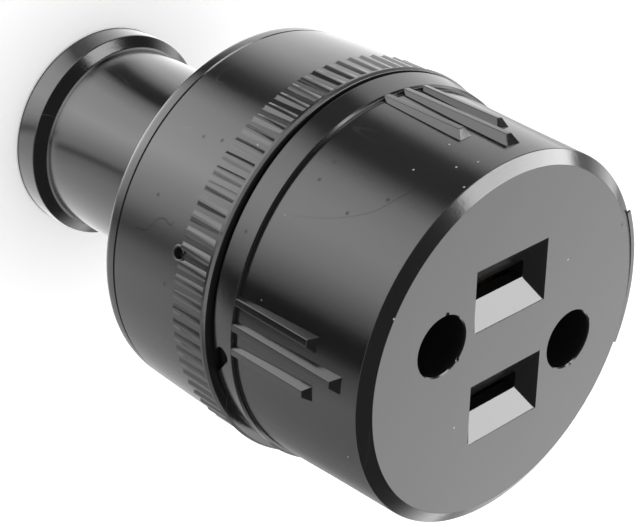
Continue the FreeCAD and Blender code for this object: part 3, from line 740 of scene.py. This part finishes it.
def wandering_line(tree, along, across, points, width):
    """A thin line; points pair a place along one coordinate with a place along another."""
    first, last = points[0][0], points[-1][0]
    lowest, highest = min(side for _, side in points), max(side for _, side in points)
    course = add(tree, "ShaderNodeMapRange", {"Value": along, "From Min": first / 1000, "From Max": last / 1000})
    curve = add(tree, "ShaderNodeFloatCurve", {"Value": course.outputs[0]})
    bends = curve.mapping.curves[0].points
    while len(bends) < len(points):
        bends.new(0.5, 0.5)
    for bend, (length, side) in zip(bends, points):
        bend.location = ((length - first) / (last - first), (side - lowest) / (highest - lowest))
    curve.mapping.update()
    wanted = add(tree, "ShaderNodeMapRange", {"Value": curve.outputs[0], "To Min": lowest / 1000,
                                              "To Max": highest / 1000}).outputs[0]
    away = sums(tree, "ABSOLUTE", sums(tree, "SUBTRACT", across, wanted), 0.0)
    near = sums(tree, "LESS_THAN", away, width / 1000)
    from_half_way = sums(tree, "ABSOLUTE", sums(tree, "SUBTRACT", course.outputs[0], 0.5), 0.0)
    inside = sums(tree, "LESS_THAN", from_half_way, 0.497)
    return sums(tree, "MULTIPLY", near, inside)


print("mark helpers ready")

# %% [markdown]
# ## Black moulded plastic
#
# Both mouldings are black and glossy. The plastic is a very dark grey, because nothing real is pure black, and its
# roughness comes from the handling group. Hairlines scatter a little more light than the plastic round them, dust
# is pale and matt, and the finest grain is only a bump.

# %% Material for the black mouldings
def in_use(tree, group, **values):
    node = add(tree, "ShaderNodeGroup", node_tree=group)
    for title, value in values.items():
        node.inputs[title.replace("_", " ")].default_value = value
    return node


def tint(tree, mask, under, over):
    """Lays one colour over another by a mask."""
    mix = add(tree, "ShaderNodeMix", data_type="RGBA")
    tree.links.new(mask, mix.inputs["Factor"])
    for socket, colour in ((mix.inputs[6], under), (mix.inputs[7], over)):
        if isinstance(colour, bpy.types.NodeSocket):
            tree.links.new(colour, socket)
        else:
            socket.default_value = (*colour, 1)
    return mix.outputs[2]


def new_material(name):
    material = bpy.data.materials.new(name)
    material.use_nodes = True
    return material, material.node_tree, material.node_tree.nodes["Principled BSDF"]


DUST_COLOUR = (0.4, 0.39, 0.38)


def black_plastic(name, shade, gloss, hair, share, dust_at, dull_at, line):
    """Gloss is the range of roughness, hair how strong the hairlines are, and share how many cells hold dust."""
    material, tree, plastic = new_material(name)
    place = add(tree, "ShaderNodeTexCoord").outputs["Object"]
    axes = add(tree, "ShaderNodeSeparateXYZ", {0: place}).outputs
    handled = in_use(tree, HANDLING, Scale=110.0, From=gloss[0], To=gloss[1])
    lines = in_use(tree, HAIRLINES, Density=70.0, Width=0.0012, Amount=hair)
    dust = in_use(tree, DUST, Density=430.0, Size=0.05, Share=share)
    pale = sums(tree, "MAXIMUM", dust.outputs["Mask"], specks(tree, place, dust_at, 0.05, 0.09))
    along, across, points, strength = line
    scratch = sums(tree, "MULTIPLY", wandering_line(tree, axes[along], axes[across], points, 0.08), strength)
    # The line would come back on the far side of the axis, so it is kept to one side.
    one_side = sums(tree, "MULTIPLY", sums(tree, "LESS_THAN", axes["Y"], -0.004),
                    sums(tree, "GREATER_THAN", axes["X"], 0.005))
    scratch = sums(tree, "MULTIPLY", scratch, one_side)
    colour = tint(tree, lines.outputs["Mask"], shade, [0.05 + 2 * part for part in shade])
    colour = tint(tree, pale, colour, DUST_COLOUR)
    tree.links.new(colour, plastic.inputs["Base Color"])
    rough = sums(tree, "ADD", handled.outputs["Value"], sums(tree, "MULTIPLY", lines.outputs["Mask"], 0.2))
    rough = sums(tree, "ADD", rough, sums(tree, "MULTIPLY", pale, 0.5))
    tree.links.new(rough, plastic.inputs["Roughness"])
    dull = sums(tree, "MAXIMUM", specks(tree, place, dull_at, 0.05, 0.24), scratch)
    shine = add(tree, "ShaderNodeMapRange", {"Value": dull, "To Min": 0.5, "To Max": 0.2})
    tree.links.new(shine.outputs[0], plastic.inputs["Specular IOR Level"])
    bump = add(tree, "ShaderNodeBump", {"Strength": 0.05, "Distance": 0.0001, "Height": handled.outputs["Grain"]})
    tree.links.new(bump.outputs[0], plastic.inputs["Normal"])
    plastic.inputs["IOR"].default_value = 1.52
    return material


print("black plastic can be made")

# %% Give the two mouldings their plastic
# Each list holds places on the piece. A line holds its two coordinates, its course and how strongly it shows.
FRONT_DUST = [(2.7, -19.4, 61.3), (6.1, -18.6, 62.8), (4.5, -19.1, 60.3), (2.3, -19.6, 57.3), (6.9, -18.5, 57.2),
              (15.8, -9.2, 64.0), (18.9, -6.1, 49.8), (14.9, -13.2, 48.6), (-8.2, -6.1, 64.0)]
FRONT_DULL = [(17.2, -11.1, 45.7), (11.6, -16.2, 49.7), (9.7, -17.3, 49.7), (12.8, -15.1, 54.7), (10.4, -16.7, 57.5),
              (-16.3, -7.0, 64.0)]
FRONT_SCRATCH = ("X", "Z", [(7.3, 59.2), (8.7, 58.9), (10.1, 58.2), (11.6, 57.2), (12.9, 55.2), (14.0, 52.4),
                            (14.8, 49.1)], 0.5)
CAP_DUST = [(9.0, -18.6, 29.1), (12.1, -17.0, 41.5), (19.6, -8.2, 42.9)]
CAP_DULL = [(20.6, -3.0, 37.2), (17.9, -10.4, 33.3), (13.3, -15.8, 35.0), (13.0, -16.2, 37.4), (18.4, -10.4, 43.4)]
CAP_HAIR = ("Z", "Y", [(31.5, -6.7), (33.0, -6.9), (33.8, -7.7), (34.6, -8.6), (35.5, -8.8), (36.2, -8.6),
                       (36.7, -9.2)], 0.7)
black_front = black_plastic("black_front", shade=(0.008, 0.008, 0.0084), gloss=(0.15, 0.19), hair=0.13, share=0.03,
                            dust_at=FRONT_DUST, dull_at=FRONT_DULL, line=FRONT_SCRATCH)
black_cap = black_plastic("black_cap", shade=(0.009, 0.009, 0.0094), gloss=(0.13, 0.18), hair=0.25, share=0.04,
                          dust_at=CAP_DUST, dull_at=CAP_DULL, line=CAP_HAIR)
for piece, material in ((front, black_front), (cap, black_cap)):
    piece.data.materials.clear()
    piece.data.materials.append(material)
    print(piece.name, "gets", material.name)

# %% [markdown]
# ## Metal and the brown retainer
#
# The pieces inside are seen only when the connector is taken apart, but each has its real finish: rolled brass that
# has begun to tarnish, plated screws with fine turning marks, clamp plates that were stamped, and an insulating
# plate of dull brown laminate. They keep their CAD shape, so only their material is replaced.

# %% Materials for the pieces inside
def metal(name, clean, stained, gloss, stretch):
    material, tree, surface = new_material(name)
    place = add(tree, "ShaderNodeTexCoord").outputs["Object"]
    drawn = add(tree, "ShaderNodeMapping", {"Vector": place, "Scale": stretch}).outputs[0]
    marks = add(tree, "ShaderNodeTexNoise", {"Vector": drawn, "Scale": 900.0, "Detail": 3.0}).outputs["Fac"]
    stains = add(tree, "ShaderNodeTexNoise", {"Vector": place, "Scale": 260.0, "Detail": 5.0}).outputs["Fac"]
    stained_mask = add(tree, "ShaderNodeMapRange", {"Value": stains, "From Min": 0.45, "From Max": 0.75}).outputs[0]
    tree.links.new(tint(tree, stained_mask, clean, stained), surface.inputs["Base Color"])
    rough = add(tree, "ShaderNodeMapRange", {"Value": marks, "To Min": gloss[0], "To Max": gloss[1]}).outputs[0]
    tree.links.new(rough, surface.inputs["Roughness"])
    bump = add(tree, "ShaderNodeBump", {"Strength": 0.15, "Distance": 0.0001, "Height": marks})
    tree.links.new(bump.outputs[0], surface.inputs["Normal"])
    surface.inputs["Metallic"].default_value = 1.0
    return material


def laminate(name):
    material, tree, surface = new_material(name)
    place = add(tree, "ShaderNodeTexCoord").outputs["Object"]
    layers = add(tree, "ShaderNodeMapping", {"Vector": place, "Scale": (1, 1, 9)}).outputs[0]
    cloud = add(tree, "ShaderNodeTexNoise", {"Vector": layers, "Scale": 150.0, "Detail": 6.0}).outputs["Fac"]
    tree.links.new(tint(tree, cloud, (0.07, 0.045, 0.03), (0.13, 0.09, 0.065)), surface.inputs["Base Color"])
    rough = add(tree, "ShaderNodeMapRange", {"Value": cloud, "To Min": 0.5, "To Max": 0.75}).outputs[0]
    tree.links.new(rough, surface.inputs["Roughness"])
    return material


finishes = {
    "contact": metal("rolled_brass", (0.78, 0.57, 0.27), (0.5, 0.34, 0.16), (0.22, 0.4), (1, 1, 0.1)),
    "screw": metal("plated_screw", (0.62, 0.62, 0.6), (0.42, 0.41, 0.39), (0.2, 0.38), (1, 1, 3)),
    "plate": metal("stamped_plate", (0.58, 0.58, 0.56), (0.38, 0.37, 0.35), (0.3, 0.5), (0.2, 1, 1)),
    "retainer": laminate("brown_laminate"),
}
for name, node in frame["nodes"].items():
    for ending, material in finishes.items():
        if name.endswith(ending):
            for slot in node.material_slots:
                slot.material = material
            print(name, "gets", material.name)

# %% [markdown]
# ## Floor and light
#
# A black glossy piece is lit by what it mirrors. A large panel overhead is mirrored by the face, and a smaller and
# stronger one makes the chamfer and one wall of each funnel shine. A third one, off to one side, draws the bright
# line on the step. These three are for mirrors only, so that they throw no hard shadow. One very large and soft
# panel, which no mirror sees, lights everything else. The world glows near its horizon, which draws the line of light
# on each rounded edge. The floor is plain and nearly white and keeps a soft shadow.

# %% Build the floor
FLOOR_GLOW = 0.3
clear()
bpy.ops.mesh.primitive_grid_add(x_subdivisions=4, y_subdivisions=4, size=16, location=(0, 0, -0.0001))
floor = settle(bpy.context.object)
floor.name = "floor"
material, tree, surface = new_material("pale_floor")
surface.inputs["Base Color"].default_value = (0.9, 0.9, 0.9, 1)
surface.inputs["Roughness"].default_value = 1.0
surface.inputs["Specular IOR Level"].default_value = 0.0
surface.inputs["Emission Color"].default_value = (1, 1, 1, 1)
seen = add(tree, "ShaderNodeLightPath").outputs["Is Camera Ray"]
tree.links.new(sums(tree, "MULTIPLY", seen, FLOOR_GLOW), surface.inputs["Emission Strength"])
floor.data.materials.append(material)
print("floor of", round(floor.dimensions.x, 1), "m")

# %% Build the world
HORIZON_GLOW, SKY_GLOW = 3.5, 0.08
world = bpy.context.scene.world or bpy.data.worlds.new("studio")
bpy.context.scene.world = world
world.use_nodes = True
sky = world.node_tree
sky.nodes["Background"].inputs[0].default_value = (1, 1, 1, 1)
height = add(sky, "ShaderNodeSeparateXYZ", {0: add(sky, "ShaderNodeTexCoord").outputs["Generated"]}).outputs["Z"]
glow = add(sky, "ShaderNodeMapRange", {"Value": height, "From Min": 0.05, "From Max": 0.28,
                                       "To Min": HORIZON_GLOW, "To Max": SKY_GLOW})
sky.links.new(glow.outputs[0], sky.nodes["Background"].inputs[1])
print("world glows", HORIZON_GLOW, "at the horizon and", SKY_GLOW, "above")


# %% Hang the soft panels
def panel(name, centre, along, facing, length, width, brightness):
    """A soft panel; brightness is how bright its surface looks, with white paper as 1."""
    lamp = bpy.data.lights.new(name, "AREA")
    lamp.shape = "RECTANGLE"
    lamp.size = length / 1000
    lamp.size_y = width / 1000
    lamp.energy = brightness * pi * length * width / 1e6
    lamp_object = bpy.data.objects.new(name, lamp)
    bpy.context.collection.objects.link(lamp_object)
    back = -Vector(facing).normalized()
    side = Vector(along)
    side = (side - side.dot(back) * back).normalized()
    lamp_object.matrix_world = (Matrix.Translation(Vector(centre) / 1000)
                                @ Matrix((side, back.cross(side), back)).transposed().to_4x4())
    lamp_object.visible_camera = False
    return lamp_object


def over(name, centre, along, length, width, brightness):
    """A panel in the air that looks at the middle of the face."""
    return panel(name, centre, along, Vector((0, 0, 64)) - Vector(centre), length, width, brightness)


mirrored = [
    over("overhead", (-330, 280, 400), (280, 330, 0), 330, 330, 3.1),
    over("key", (-304, -94, 372), (-0.74, 0.30, -0.60), 415, 150, 11.5),
    over("edge_light", (-170, -290, 303), (0.863, -0.506, 0), 250, 110, 9.0),
]
for lamp in mirrored:
    lamp.visible_diffuse = False
over("fill", (0, 0, 700), (1, 0, 0), 1400, 1400, 1.7).visible_glossy = False
print(len(mirrored), "panels for mirrors and one soft fill")

# %% [markdown]
# ## The light table
#
# What the upright walls mirror lies flat round the foot: a light table whose brightness changes with the direction,
# from one soft field in front of the camera, over a dark gap, to a second field at the back. Only mirror rays see
# it, so it lights neither the floor nor the picture's background. A ring is swept round the foot and a radial
# gradient runs round it from 0 to 1, starting behind at the left.

# %% Lay the light table
TABLE_LIGHT = 5.0
TABLE_HEIGHT = 0.0002


def light_table(name, inner, outer, around):
    """A flat ring of light; around pairs a bearing in degrees with how bright the ring looks there."""
    clear()
    bpy.ops.mesh.primitive_circle_add(vertices=96, radius=inner, location=(0, 0, TABLE_HEIGHT), fill_type="NOTHING")
    table = bpy.context.object
    table.name = name
    bpy.ops.object.mode_set(mode="EDIT")
    bpy.ops.mesh.extrude_region_move()
    resize((outer / inner, outer / inner, 1), (0, 0, TABLE_HEIGHT))
    settle(table)
    material, tree, surface = new_material(name)
    tree.nodes.remove(surface)
    bearing = add(tree, "ShaderNodeTexGradient", {0: add(tree, "ShaderNodeTexCoord").outputs["Object"]},
                  gradient_type="RADIAL")
    ramp = add(tree, "ShaderNodeValToRGB", {0: bearing.outputs["Fac"]})
    stops = ramp.color_ramp.elements
    while len(stops) < len(around):
        stops.new(1.0)
    for stop, (angle, light) in zip(stops, around):
        stop.position = (angle + 180) / 360
        stop.color = (light / TABLE_LIGHT,) * 3 + (1,)
    glow = add(tree, "ShaderNodeEmission", {"Color": ramp.outputs[0], "Strength": TABLE_LIGHT})
    tree.links.new(glow.outputs[0], tree.nodes["Material Output"].inputs["Surface"])
    table.data.materials.append(material)
    for unseen in ("visible_camera", "visible_diffuse", "visible_transmission", "visible_shadow"):
        setattr(table, unseen, False)
    print(name, "has", len(stops), "stops")


INNERMOST, UNDER_NECK, UNDER_CAP, UNDER_BARREL, OUTERMOST = 0.0123, 0.0152, 0.028, 0.068, 0.16
light_table("collar_table", INNERMOST, UNDER_NECK, [
    (-180, 1.8), (-140, 2.5), (-110, 2.3), (-92, 1.6), (-80, 0.7), (-71, 0.6), (-64, 2.4), (-54, 3.7), (-40, 4.3),
    (-30, 3.4), (-23, 2.3), (-18, 0.8), (-13, 2.0), (7, 2.2), (36, 1.9), (60, 1.7), (90, 1.3), (140, 0.8)])
light_table("neck_table", UNDER_NECK, UNDER_CAP, [
    (-180, 1.8), (-140, 2.5), (-115, 2.3), (-103, 1.3), (-96, 0.2), (-84, 0.1), (-77, 1.9), (-65, 3.6), (-54, 4.0),
    (-40, 4.7), (-30, 3.7), (-20, 2.5), (-14, 1.9), (-9, 0.5), (-4, 1.5), (7, 1.9), (36, 1.9), (60, 1.7), (90, 1.3),
    (140, 0.8)])
light_table("near_table", UNDER_CAP, UNDER_BARREL, [
    (-180, 1.5), (-140, 2.1), (-122, 2.3), (-113, 1.9), (-103, 1.0), (-96, 0.3), (-87, 0.1), (-80, 1.8), (-72, 3.3),
    (-60, 4.0), (-43, 4.8), (-30, 3.4), (-18, 2.3), (-9, 0.9), (-3, 0.5), (5, 1.2), (18, 1.45), (35, 1.1),
    (60, 0.8), (140, 0.7)])
light_table("far_table", UNDER_BARREL, OUTERMOST, [
    (-180, 1.5), (-130, 1.9), (-120, 1.6), (-111, 0.2), (-88, 0.2), (-80, 1.5), (-72, 3.0), (-58, 3.8), (-45, 4.0),
    (-30, 3.2), (-20, 2.0), (-11, 0.9), (-5, 0.0), (8, 0.0), (16, 0.8), (34, 1.2), (50, 0.85), (66, 0.6), (90, 0.4),
    (140, 0.8)])

# %% [markdown]
# ## The camera
#
# The object in the picture lies on its side, while here it stands on its collar. So the camera is turned and not the
# object: it looks down at the face from about 39 degrees, rolled until the neck points to the left. Its place and
# turn were fitted to the round edges of the face, the band and the cap.

# %% Point the camera
LENS = 108.15
RIGHT = (-0.73103, -0.00981, 0.68228)
UP = (-0.33427, -0.86656, -0.37061)
BACK = (0.59487, -0.49898, 0.63019)
STANDS_AT = (0.12066, -0.09874, 0.16541)
camera_data = bpy.data.cameras.new("camera")
camera_data.sensor_fit = "HORIZONTAL"
camera_data.sensor_width = 36
camera_data.lens = LENS
camera_data.clip_start = 0.01
camera = bpy.data.objects.new("camera", camera_data)
bpy.context.collection.objects.link(camera)
turn = Matrix((RIGHT, UP, BACK)).transposed()
camera.matrix_world = Matrix.Translation(STANDS_AT) @ turn.to_4x4()
bpy.context.scene.camera = camera
bpy.context.scene.view_settings.view_transform = "Standard"
print("camera at", [round(v * 1000, 1) for v in camera.matrix_world.translation])

# %% [markdown]
# ## Sizes
#
# Each finished piece printed its size in millimetres when it was finished.

# %% Import json
import json
